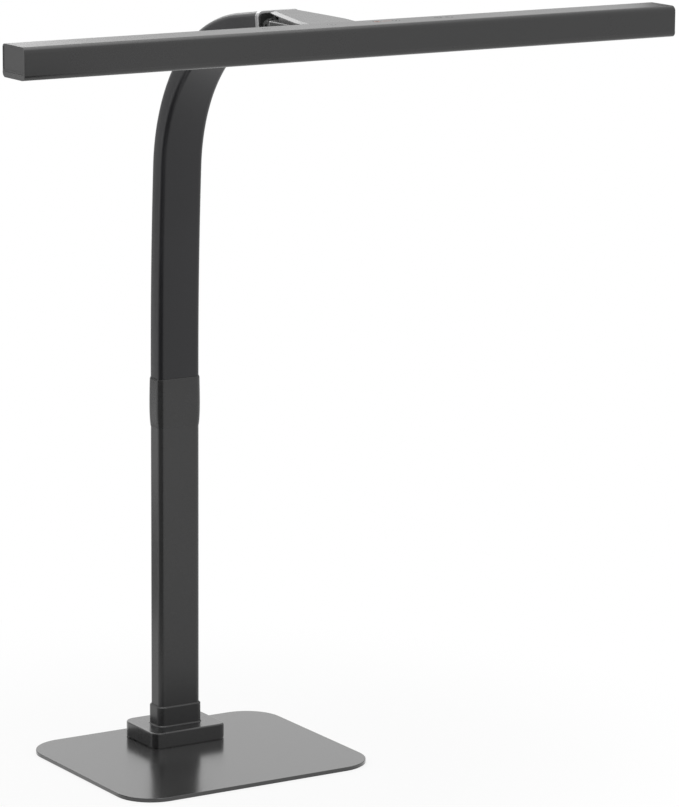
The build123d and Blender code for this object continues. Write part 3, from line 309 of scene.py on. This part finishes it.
def coated(name, skin, tones, grain_scale, cloud_scale, roughness, bump, shader, edge_highlight=None):
    """A material of one Principled shader, fed by a skin group read at Object coordinates.
    tones and roughness are low and high ends, bump the grain's depth in metres, shader the
    sockets that are the same all over, and the last argument (edge radius, colour) a painted
    highlight: a lighter colour along the edges."""
    material = bpy.data.materials.new(name)
    material.use_nodes = True
    tree = material.node_tree
    tree.nodes.clear()
    place = add(tree, "TexCoord", {}, {}).outputs["Object"]
    body = add(tree, "Group", {"node_tree": skin},
               {"Coordinates": place, "Dark Tone": tones[0], "Light Tone": tones[1],
                "Grain Scale": grain_scale, "Cloud Scale": cloud_scale,
                "Roughness Low": roughness[0], "Roughness High": roughness[1]}).outputs
    colour = body["Colour"]
    # Edges turn a lighter colour here: a painted highlight.
    if edge_highlight:
        edge_lit = add(tree, "Group", {"node_tree": painted_edge_highlight},
                   {"Coordinates": place, "Edge Radius": edge_highlight[0]}).outputs["Highlight"]
        colour = mixed(tree, edge_lit, colour, edge_highlight[1])
    relief = add(tree, "Bump", {}, {"Height": body["Height"], "Distance": bump, "Strength": 1.0})
    out = add(tree, "BsdfPrincipled", {}, {"Base Color": colour, "Roughness": body["Roughness"],
                                           "Normal": relief.outputs[0], **shader})
    add(tree, "OutputMaterial", {}, {"Surface": out.outputs[0]})
    return material


def dress(material, *nodes):
    """Gives CAD nodes a material in every one of their slots."""
    for node in nodes:
        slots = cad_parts[node].data.materials
        for number in range(len(slots)):
            slots[number] = material
        if not len(slots):
            slots.append(material)


foam_skin = coated("foam_black", powder_coat, tones=(grey(0.008), grey(0.02)), grain_scale=1400,
                   cloud_scale=40, roughness=(0.8, 0.95), bump=0.0002,
                   shader={"Specular IOR Level": 0.2})
plate_paint = coated("plate_powder_coat", powder_coat, tones=(grey(0.022), grey(0.034)),
                     grain_scale=1100, cloud_scale=25, roughness=(0.17, 0.24), bump=0.000012,
                     shader={"Coat Weight": 0.57, "Coat Roughness": 0.16},
                     edge_highlight=(0.0006, grey(0.05)))
dress(foam_skin, "base_pad")
dress(plate_paint, "base_plate")


# ---- Fasteners ----------------------------------------------------------------------------
# Zinc-plated steel screws hold the plate, the post's anchor and the bar's bracket. The ones
# that can be seen, at the collar, the hinge and the covers, are black-oxide steel.
def turned_grain(tree, place, scale):
    """Fine lathe and rolling marks: noise drawn out eightfold along X and Y."""
    drawn = add(tree, "Mapping", {}, {"Vector": place, "Scale": (0.12, 0.12, 1.0)}).outputs[0]
    return add(tree, "TexNoise", {}, {"Vector": drawn, "Scale": scale, "Detail": 3.0,
                                      "Roughness": 0.6}).outputs[0]


worked_metal = skin_effect("worked_metal", turned_grain)
plated_steel = coated("zinc_plated_steel", worked_metal,
                      tones=((0.42, 0.43, 0.45, 1), (0.56, 0.56, 0.56, 1)), grain_scale=4000,
                      cloud_scale=60, roughness=(0.25, 0.42), bump=0.00002,
                      shader={"Metallic": 1.0}, edge_highlight=(0.0003, grey(0.7)))
oxide_steel = coated("black_oxide_steel", worked_metal, tones=(grey(0.03), grey(0.06)),
                     grain_scale=4000, cloud_scale=60, roughness=(0.3, 0.45), bump=0.00002,
                     shader={"Metallic": 0.6}, edge_highlight=(0.0003, grey(0.18)))
dress(plated_steel, "base_screws", "anchor_bolts", "bracket_screws", "nut_plates")
dress(oxide_steel, "collar_screws", "hinge_screws", "cover_screws")


# ---- Foot block and its power socket --------------------------------------------------------
# The block is a dark ABS moulding with a fine spark-eroded matt skin, screwed to the plate
# from below. A barrel socket with a brass centre contact sits in its rear face.
def spark_grain(tree, place, scale):
    """The even, soft pitting of a spark-eroded mould."""
    return add(tree, "TexNoise", {}, {"Vector": place, "Scale": scale, "Detail": 4.0,
                                      "Roughness": 0.65}).outputs[0]


moulded_skin = skin_effect("moulded_skin", spark_grain)
block_plastic = coated("dark_moulding", moulded_skin, tones=(grey(0.019), grey(0.028, 1.03)),
                       grain_scale=1900, cloud_scale=30, roughness=(0.24, 0.31), bump=0.000014,
                       shader={"Coat Weight": 0.62, "Coat Roughness": 0.2},
                       edge_highlight=(0.0005, grey(0.05)))
brass = coated("turned_brass", worked_metal, tones=((0.55, 0.38, 0.13, 1), (0.72, 0.52, 0.22, 1)),
               grain_scale=3500, cloud_scale=80, roughness=(0.22, 0.38), bump=0.00002,
               shader={"Metallic": 1.0})
cover_plastic = coated("satin_moulding", moulded_skin, tones=(grey(0.021), grey(0.029, 1.03)),
                       grain_scale=1900, cloud_scale=30, roughness=(0.24, 0.31), bump=0.000014,
                       shader={"Coat Weight": 0.2, "Coat Roughness": 0.2},
                       edge_highlight=(0.0005, grey(0.05)))
dress(block_plastic, "foot_block", "power_socket")
dress(cover_plastic, "lower_cover", "upper_cover", "bottom_frame")
dress(brass, "socket_contact")


# ---- Post, its collars and what holds them --------------------------------------------------
# The post is a flat extruded aluminium tube in satin dark grey, pushed over a cast plug and
# trimmed by a flared collar. A second plug under the mid collar carries the neck.
def cast_grain(tree, place, scale):
    """The orange-peel skin of a die casting."""
    peel = add(tree, "TexVoronoi", {"feature": "F1"}, {"Vector": place, "Scale": scale})
    return peel.outputs["Distance"]


cast_skin = skin_effect("cast_skin", cast_grain)
cast_metal = coated("die_cast_metal", cast_skin, tones=(grey(0.016), grey(0.026)), grain_scale=900,
                    cloud_scale=50, roughness=(0.4, 0.55), bump=0.00004,
                    shader={"Specular IOR Level": 0.4}, edge_highlight=(0.0004, grey(0.06)))
post_paint = coated("post_satin_grey", moulded_skin, tones=(grey(0.026), grey(0.033, 1.02)),
                    grain_scale=1500, cloud_scale=14, roughness=(0.25, 0.31), bump=0.000012,
                    shader={"Specular IOR Level": 0.5}, edge_highlight=(0.0005, grey(0.05)))
collar_paint = coated("collar_satin_grey", moulded_skin, tones=(grey(0.023), grey(0.031, 1.03)),
                      grain_scale=1700, cloud_scale=26, roughness=(0.24, 0.30), bump=0.000012,
                      shader={"Specular IOR Level": 0.5}, edge_highlight=(0.0005, grey(0.07)))
dress(cast_metal, "post_anchor", "coupler", "tip_fitting", "hinge_bracket")
dress(post_paint, "post_tube")
dress(collar_paint, "foot_collar", "mid_collar")


# ---- Neck sleeve ------------------------------------------------------------------------------
# A flat tube of matt silicone, 39.8 by 20 mm, drawn over two bending steel hoses from the mid
# collar to the ring. Here it is four stretches end to end, each spanning one of the neck's joints.
stem_x, stem_y = 0.0072, 0.056
bend_start_z = 0.3323
# The neck's arcs, each a radius and an angle in degrees, from the straight start upwards.
neck_runs = [(3.0, 3.3), (0.1394, 64.2), (0.1757, 14.6)]
neck_end_straight = 0.0330
neck_length = sum(radius * math.radians(angle) for radius, angle in neck_runs) + neck_end_straight
sleeve_width, sleeve_depth, sleeve_corner, sleeve_wall = 0.0398, 0.020, 0.005, 0.0015
sleeve_cuts = [-0.0277, 0.100, 0.200, 0.300, neck_length]
bend_stations = [0.050, 0.150, 0.250, 0.350]
sleeve_nodes = [["neck_sleeve_1"], ["neck_sleeve_2"], ["neck_sleeve_3"],
                ["neck_sleeve_4", "neck_sleeve_5"]]


def neck_line(distance):
    """The neck's centre line as whole arrays: forward reach, height and lean at each distance
    along it. It is straight, then three arcs each given by radius and angle, then straight.
    Along an arc the reach grows by the radius times the drop in the lean's cosine, and the
    height by the radius times the rise in its sine."""
    distance = np.asarray(distance, float)
    left = np.maximum(distance, 0.0)
    forward = np.zeros_like(left)
    height = bend_start_z + np.minimum(distance, 0.0)
    lean = np.zeros_like(left)
    for radius, angle in neck_runs:
        turn = np.minimum(math.radians(angle), left / radius)
        forward = forward + radius * (np.cos(lean) - np.cos(lean + turn))
        height = height + radius * (np.sin(lean + turn) - np.sin(lean))
        lean = lean + turn
        left = left - radius * turn
    return forward + left * np.sin(lean), height + left * np.cos(lean), lean


def rounded_outline(width, depth, corner, steps):
    """A rectangle with rounded corners as a closed loop of points, anticlockwise: a quarter
    circle of steps + 1 points about each corner's centre."""
    turns = np.linspace(0, math.pi / 2, steps + 1)
    angle = (np.arange(4)[:, None] * math.pi / 2 + turns[None, :]).ravel()
    side_x = np.repeat([1, -1, -1, 1], steps + 1) * (width / 2 - corner)
    side_y = np.repeat([1, 1, -1, -1], steps + 1) * (depth / 2 - corner)
    return np.stack([side_x + corner * np.cos(angle), side_y + corner * np.sin(angle)], -1)


def closed_grid_faces(rows, columns):
    """Quads of a grid whose rows and columns both run round and join."""
    row, column = np.meshgrid(np.arange(rows), np.arange(columns), indexing="ij")
    down, across = (row + 1) % rows, (column + 1) % columns
    return np.stack([row * columns + column, row * columns + across, down * columns + across,
                     down * columns + column], -1).reshape(-1, 4).tolist()


def sleeve_stretch(start, end, spacing=0.002, steps=6):
    """The sleeve from one distance along the neck to another: the outline carried up the
    neck's outside and down its inside, a wall thinner, so that the skin closes on itself."""
    along = np.linspace(start, end, max(4, int(round((end - start) / spacing)) + 1))
    forward, height, lean = neck_line(along)
    outer = rounded_outline(sleeve_width, sleeve_depth, sleeve_corner, steps)
    inner = rounded_outline(sleeve_width - 2 * sleeve_wall, sleeve_depth - 2 * sleeve_wall,
                            sleeve_corner - sleeve_wall, steps)
    ring = np.concatenate([np.broadcast_to(outer, (len(along),) + outer.shape),
                           np.broadcast_to(inner, (len(along),) + inner.shape)])
    forward, height, lean = (np.concatenate([part, part[::-1]])[:, None]
                             for part in (forward, height, lean))
    back = ring[..., 1]
    return np.stack([stem_x + ring[..., 0], stem_y - forward + back * np.cos(lean),
                     height + back * np.sin(lean)], -1)


def smooth_shaded(piece, sharp_from=35):
    """Smooth shading that keeps the edges that turn more than sharp_from degrees."""
    piece.data.shade_smooth()
    piece.data.set_sharp_from_angle(angle=math.radians(sharp_from))


silicone_skin = skin_effect("silicone_skin", spark_grain)
silicone = coated("matt_silicone", silicone_skin, tones=(grey(0.011, 1.15), grey(0.017, 1.15)),
                  grain_scale=2600, cloud_scale=18, roughness=(0.31, 0.39), bump=0.00001,
                  shader={"Specular IOR Level": 0.42, "Sheen Weight": 0.04,
                          "Sheen Roughness": 0.5})
for number, station in enumerate(bend_stations):
    grid = sleeve_stretch(sleeve_cuts[number], sleeve_cuts[number + 1])
    piece = put_mesh(f"sleeve_{number + 1}", grid, closed_grid_faces(*grid.shape[:2]))
    smooth_shaded(piece)
    piece.data.materials.append(silicone)
    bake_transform(piece)
    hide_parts(*sleeve_nodes[number])


# ---- Inside the neck --------------------------------------------------------------------------
# Two steel gooseneck hoses stand side by side, wound from half-round and triangular wire,
# with the black PVC cable between them.
def hose_grain(tree, place, scale):
    """Turns of wire: even bands up the lamp."""
    return add(tree, "TexWave", {"bands_direction": "Z", "wave_type": "BANDS"},
               {"Vector": place, "Scale": scale, "Distortion": 0.2}).outputs["Fac"]


wound_wire = skin_effect("wound_wire", hose_grain)
hose_steel = coated("wound_steel", wound_wire, tones=(grey(0.3), grey(0.5)), grain_scale=130,
                    cloud_scale=40, roughness=(0.3, 0.45), bump=0.0003, shader={"Metallic": 1.0})
sheath = coated("pvc_sheath", moulded_skin, tones=(grey(0.012), grey(0.02)), grain_scale=1500,
                cloud_scale=60, roughness=(0.4, 0.5), bump=0.00002,
                shader={"Specular IOR Level": 0.45})
dress(hose_steel, *[f"neck_hoses_{number}" for number in range(1, 6)])
dress(sheath, "supply_cable", "head_cable", *[f"neck_cable_{number}" for number in range(2, 6)])


# ---- Ring and hinge ---------------------------------------------------------------------------
# A satin nickel ring closes the sleeve's tip. Its cast fitting holds the bracket's barrel
# between two ears with friction washers, and a shoulder screw goes in from each side.
nickel = coated("satin_nickel", worked_metal, tones=((0.36, 0.36, 0.37, 1), (0.50, 0.50, 0.50, 1)),
                grain_scale=2600, cloud_scale=40, roughness=(0.26, 0.34), bump=0.000004,
                shader={"Metallic": 1.0}, edge_highlight=(0.0003, grey(0.75)))
acetal = coated("acetal_washer", moulded_skin, tones=(grey(0.42), grey(0.5)), grain_scale=1200,
                cloud_scale=60, roughness=(0.35, 0.45), bump=0.00002,
                shader={"Subsurface Weight": 0.1})
dress(nickel, "tip_ring")
dress(acetal, "friction_washers")


# ---- Light bar --------------------------------------------------------------------------------
# The housing is a thin aluminium extrusion with a satin dark grey finish. Plastic caps close
# its ends, and a frame below holds the milky acrylic plate that the light comes through.
bar_paint = coated("bar_satin_grey", moulded_skin, tones=(grey(0.029), grey(0.035, 1.02)),
                   grain_scale=1500, cloud_scale=10, roughness=(0.25, 0.31), bump=0.000010,
                   shader={"Specular IOR Level": 0.5}, edge_highlight=(0.0004, grey(0.06)))
cap_plastic = coated("cap_satin_grey", moulded_skin, tones=(grey(0.028), grey(0.035, 1.02)),
                     grain_scale=1700, cloud_scale=24, roughness=(0.27, 0.34), bump=0.000012,
                     shader={"Specular IOR Level": 0.5}, edge_highlight=(0.0004, grey(0.07)))
milky = coated("milky_acrylic", moulded_skin, tones=((0.72, 0.72, 0.70, 1), (0.80, 0.80, 0.78, 1)),
               grain_scale=900, cloud_scale=16, roughness=(0.25, 0.34), bump=0.00002,
               shader={"Subsurface Weight": 0.25, "Subsurface Radius": (0.004, 0.004, 0.004)})
dress(bar_paint, "bar_housing")
dress(cap_plastic, "end_cap_left", "end_cap_right")
dress(milky, "diffuser")


# ---- Touch keys and their signs ---------------------------------------------------------------
# Six smoked windows lie flush in the bar's top over the touch board. Each has a printed sign:
# power, timer, the two ends of the warm to cool row, and minus and plus.
touch_y = -0.22373
bar_top_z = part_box("bar_housing")[1].z
print_height = 0.00004
print_width = 0.0007


def stroke(path):
    """A printed line: a flat strip carried along a path of points in the bar's top. Its long
    edges lie half the print's width to the left and right, a print's height down and up."""
    path = np.asarray(path, float)
    along = np.gradient(path, axis=0)
    along /= np.linalg.norm(along, axis=1)[:, None]
    side = np.stack([-along[:, 1], along[:, 0]], -1) * print_width / 2
    low, high = bar_top_z - print_height, bar_top_z + print_height
    rows = [np.column_stack([path + side * sign, np.full(len(path), level)])
            for sign, level in ((1, low), (1, high), (-1, high), (-1, low))]
    points = np.stack(rows, 1)
    count = len(path)
    faces = [[4 * n + a, 4 * n + (a + 1) % 4, 4 * n + 4 + (a + 1) % 4, 4 * n + 4 + a]
             for n in range(count - 1) for a in range(4)]
    faces += [[3, 2, 1, 0], [4 * count - 4, 4 * count - 3, 4 * count - 2, 4 * count - 1]]
    return points.reshape(-1, 3), faces


def arc(x, radius, start=0, end=356, steps=20):
    """Points of a circular arc about the key's centre between two angles in degrees: the centre
    plus radius times the cosine in X and the sine in Y. As given, a ring all but closed."""
    angle = np.radians(np.linspace(start, end, steps))
    return np.stack([x + radius * np.cos(angle), touch_y + radius * np.sin(angle)], -1)


def dash(x, half):
    """Two points either side of the key's centre, along the bar."""
    return [(x - half, touch_y), (x + half, touch_y)]


def upright(x, half):
    """Two points before and behind the key's centre, across the bar."""
    return [(x, touch_y - half), (x, touch_y + half)]


def printed(name, strokes, material):
    """One piece from several printed lines, riding on the head."""
    points, faces, count = [], [], 0
    for line_points, line_faces in strokes:
        points.append(line_points)
        faces += [[corner + count for corner in face] for face in line_faces]
        count += len(line_points)
    made = put_mesh(name, np.concatenate(points), faces)
    made.data.materials.append(material)
    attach(made, "head")


smoked = coated("smoked_window", moulded_skin, tones=(grey(0.012), grey(0.02)), grain_scale=1200,
                cloud_scale=60, roughness=(0.34, 0.42), bump=0.00001,
                shader={"Specular IOR Level": 0.25})
white_print = coated("white_print", moulded_skin, tones=(grey(0.4), grey(0.5)), grain_scale=2500,
                     cloud_scale=90, roughness=(0.5, 0.6), bump=0.00001,
                     shader={"Specular IOR Level": 0.3})
warm_print = coated("warm_print", moulded_skin, tones=((0.5, 0.2, 0.14, 1), (0.6, 0.27, 0.2, 1)),
                    grain_scale=2500, cloud_scale=90, roughness=(0.5, 0.6), bump=0.00001,
                    shader={"Specular IOR Level": 0.3})
dress(smoked, "touch_keys")
power_x, timer_x, warm_x, cool_x, minus_x, plus_x = (
    stem_x + place / 1000 for place in (-77.5, -18.2, 24.0, 42.0, 81.7, 92.2))
power_ring, timer_ring, tone_ring = 0.0023, 0.0024, 0.0019
power_half, timer_half, sum_half = 0.0011, 0.0010, 0.0020
row_gap = 0.0045
printed("touch_signs",
        [stroke(arc(power_x, power_ring, 120, 420)), stroke(upright(power_x, power_half)),
         stroke(arc(timer_x, timer_ring)), stroke(upright(timer_x, timer_half)),
         stroke(arc(cool_x, tone_ring)), stroke(dash(minus_x, sum_half)),
         stroke(dash(plus_x, sum_half)), stroke(upright(plus_x, sum_half))], white_print)
printed("warm_signs",
        [stroke(arc(warm_x, tone_ring)),
         stroke([(warm_x + row_gap, touch_y), (cool_x - row_gap, touch_y)])], warm_print)


# ---- Boards and parts inside the bar ------------------------------------------------------------
# The light board is white with yellow phosphor chips; the driver and touch boards are green
# glass-epoxy and carry a nylon connector, ferrite coils and black chips.
def weave_grain(tree, place, scale):
    """The glass cloth that shows faintly through a board's mask."""
    checks = add(tree, "TexWave", {"bands_direction": "X"}, {"Vector": place, "Scale": scale})
    cross = add(tree, "TexWave", {"bands_direction": "Y"}, {"Vector": place, "Scale": scale})
    return add(tree, "Math", {"operation": "MULTIPLY"},
               {0: checks.outputs["Fac"], 1: cross.outputs["Fac"]}).outputs[0]


glass_cloth = skin_effect("glass_cloth", weave_grain)
white_board = coated("white_board", glass_cloth, tones=(grey(0.6), grey(0.7)), grain_scale=400,
                     cloud_scale=60, roughness=(0.3, 0.4), bump=0.00001, shader={})
green_board = coated("green_board", glass_cloth,
                     tones=((0.01, 0.06, 0.02, 1), (0.02, 0.1, 0.035, 1)), grain_scale=400,
                     cloud_scale=60, roughness=(0.25, 0.35), bump=0.00001, shader={})
phosphor = coated("phosphor", moulded_skin, tones=((0.75, 0.52, 0.1, 1), (0.85, 0.64, 0.18, 1)),
                  grain_scale=2000, cloud_scale=200, roughness=(0.3, 0.4), bump=0.00001, shader={})
ferrite = coated("ferrite", cast_skin, tones=(grey(0.02), grey(0.04)), grain_scale=1500,
                 cloud_scale=200, roughness=(0.5, 0.7), bump=0.00003, shader={})
epoxy = coated("chip_epoxy", moulded_skin, tones=(grey(0.01), grey(0.018)), grain_scale=2500,
               cloud_scale=200, roughness=(0.4, 0.55), bump=0.00001, shader={})
nylon = coated("nylon", moulded_skin, tones=(grey(0.6), grey(0.7)), grain_scale=1500,
               cloud_scale=90, roughness=(0.35, 0.5), bump=0.00001, shader={})
dress(white_board, "led_board")
dress(green_board, "touch_board", "driver_board")
dress(phosphor, "led_chips")
dress(ferrite, "driver_coils")
dress(epoxy, "driver_chips")
dress(nylon, "driver_connector")
